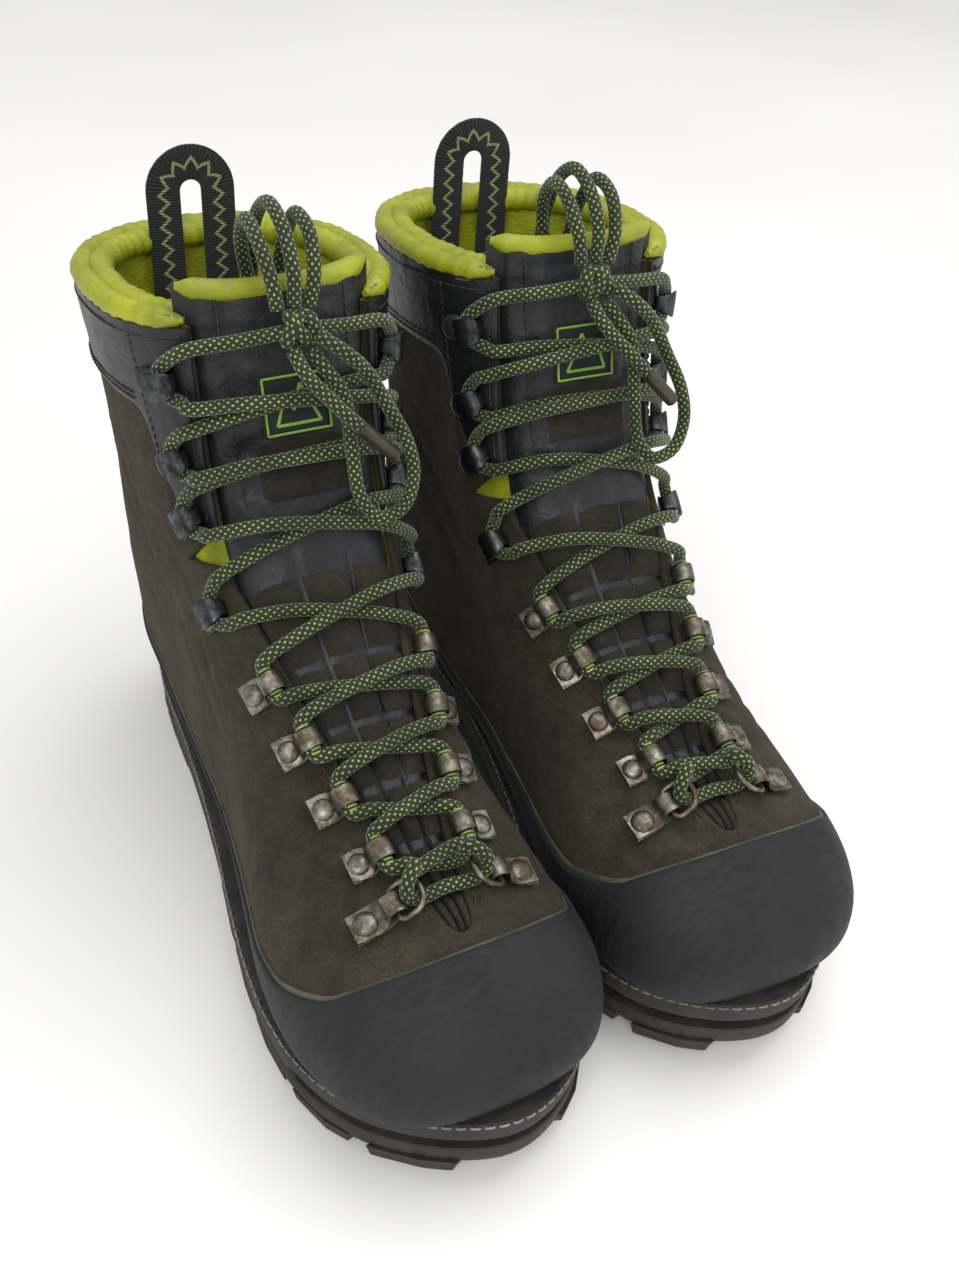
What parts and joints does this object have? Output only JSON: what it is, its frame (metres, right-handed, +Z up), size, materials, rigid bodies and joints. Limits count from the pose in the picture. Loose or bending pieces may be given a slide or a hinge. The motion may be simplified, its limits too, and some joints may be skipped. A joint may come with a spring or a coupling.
{
  "type": "pair of mountaineering boots",
  "caption": "Pair of laced leather mountaineering boots with lugged soles, rubber rand, flexing cuffs, padded tongues and tied laces.",
  "frame": {"origin": "on the floor under the middle of the pair, measured without the free lengths of lace", "axes": "+Z up, toes toward -Y, heels toward +Y, the right boot at -X and the left boot at +X"},
  "size_m": [0.2298, 0.3144, 0.2589],
  "materials": {
    "lug_rubber": "worn matt lug rubber",
    "midsole_rubber": "matt moulded rubber",
    "rand_rubber": "smooth scuffed rubber",
    "suede": "olive brushed suede",
    "board": "pressed fibre board",
    "lining": "knitted lining",
    "footbed": "felted footbed",
    "collar_fabric": "yellow woven lining fabric",
    "tongue_leather": "black grained leather",
    "webbing": "woven webbing",
    "facing_leather": "black grained leather with riveted metal fittings",
    "lace": "round braided lace",
    "steel": "tarnished nickel plated steel"
  },
  "bodies": {
    "right_lower": {"right_outsole": "lug_rubber", "right_midsole": "midsole_rubber", "right_rand": "rand_rubber", "right_upper": "suede", "right_insole_board": "board", "right_lining": "lining", "right_footbed": "footbed", "right_tongue_lower": "tongue_leather", "right_d_ring_clip_outer": "steel", "right_eyelet_strip_outer": "facing_leather", "right_ankle_hook_outer": "steel", "right_d_ring_clip_inner": "steel", "right_eyelet_strip_inner": "facing_leather", "right_ankle_hook_inner": "steel", "right_lace_lower": "lace", "right_lace_ankle_outer": "lace", "right_lace_ankle_inner": "lace"},
    "right_cuff": {"right_cuff": "suede", "right_cuff_padding": "collar_fabric", "right_pull_loop": "webbing", "right_cuff_hook_strip_outer": "facing_leather", "right_cuff_hook_strip_inner": "facing_leather", "right_lace_cuff": "lace", "right_bow_loop_front": "lace", "right_bow_loop_back": "lace", "right_lace_end_front": "lace", "right_lace_end_back": "lace"},
    "right_tongue": {"right_tongue_upper": "tongue_leather"},
    "right_ring_outer": {"right_d_ring_outer": "steel"},
    "right_ring_inner": {"right_d_ring_inner": "steel"},
    "left_lower": {"left_outsole": "lug_rubber", "left_midsole": "midsole_rubber", "left_rand": "rand_rubber", "left_upper": "suede", "left_insole_board": "board", "left_lining": "lining", "left_footbed": "footbed", "left_tongue_lower": "tongue_leather", "left_d_ring_clip_outer": "steel", "left_eyelet_strip_outer": "facing_leather", "left_ankle_hook_outer": "steel", "left_d_ring_clip_inner": "steel", "left_eyelet_strip_inner": "facing_leather", "left_ankle_hook_inner": "steel", "left_lace_lower": "lace", "left_lace_ankle_outer": "lace", "left_lace_ankle_inner": "lace"},
    "left_cuff": {"left_cuff": "suede", "left_cuff_padding": "collar_fabric", "left_pull_loop": "webbing", "left_cuff_hook_strip_outer": "facing_leather", "left_cuff_hook_strip_inner": "facing_leather", "left_lace_cuff": "lace", "left_bow_loop_front": "lace", "left_bow_loop_back": "lace", "left_lace_end_front": "lace", "left_lace_end_back": "lace"},
    "left_tongue": {"left_tongue_upper": "tongue_leather"},
    "left_ring_outer": {"left_d_ring_outer": "steel"},
    "left_ring_inner": {"left_d_ring_inner": "steel"}
  },
  "joints": [
    {"name": "right_ankle_flex", "type": "hinge", "parent": "right_lower", "child": "right_cuff", "pos_m": [-0.05582, 0.081, 0.106], "axis": [1, 0, 0], "range_deg": [0, 7.5], "stiffness_Nm_per_rad": 4, "deforming": ["right_lace_ankle_outer", "right_lace_ankle_inner"]},
    {"name": "right_tongue_tilt", "type": "hinge", "parent": "right_cuff", "child": "right_tongue", "pos_m": [-0.05582, 0.019, 0.167], "axis": [-1, 0, 0], "range_deg": [0, 6], "stiffness_Nm_per_rad": 0.4},
    {"name": "right_ring_outer_swing", "type": "hinge", "parent": "right_lower", "child": "right_ring_outer", "pos_m": [-0.0752, -0.09475, 0.08534], "axis": [-0.0473, 0.9868, 0.1551], "range_deg": [-4, 4]},
    {"name": "right_ring_inner_swing", "type": "hinge", "parent": "right_lower", "child": "right_ring_inner", "pos_m": [-0.03632, -0.09476, 0.08485], "axis": [0.058, 0.9877, 0.1455], "range_deg": [-4, 4]},
    {"name": "left_ankle_flex", "type": "hinge", "parent": "left_lower", "child": "left_cuff", "pos_m": [0.06042, 0.08089, 0.106], "axis": [0.9986, -0.0523, 0], "range_deg": [0, 7.5], "stiffness_Nm_per_rad": 4, "deforming": ["left_lace_ankle_outer", "left_lace_ankle_inner"]},
    {"name": "left_tongue_tilt", "type": "hinge", "parent": "left_cuff", "child": "left_tongue", "pos_m": [0.05717, 0.01897, 0.167], "axis": [-0.9986, 0.0523, 0], "range_deg": [0, 6], "stiffness_Nm_per_rad": 0.4},
    {"name": "left_ring_outer_swing", "type": "hinge", "parent": "left_lower", "child": "left_ring_outer", "pos_m": [0.07056, -0.09563, 0.08534], "axis": [0.0989, 0.9829, 0.1551], "range_deg": [-4, 4]},
    {"name": "left_ring_inner_swing", "type": "hinge", "parent": "left_lower", "child": "left_ring_inner", "pos_m": [0.03174, -0.09361, 0.08485], "axis": [-0.0063, 0.9893, 0.1455], "range_deg": [-4, 4]},
    {"name": "left_boot_lift", "type": "slide", "parent": "right_lower", "child": "left_lower", "axis": [0, 0, 1], "range_m": [0, 0.35]}
  ]
}
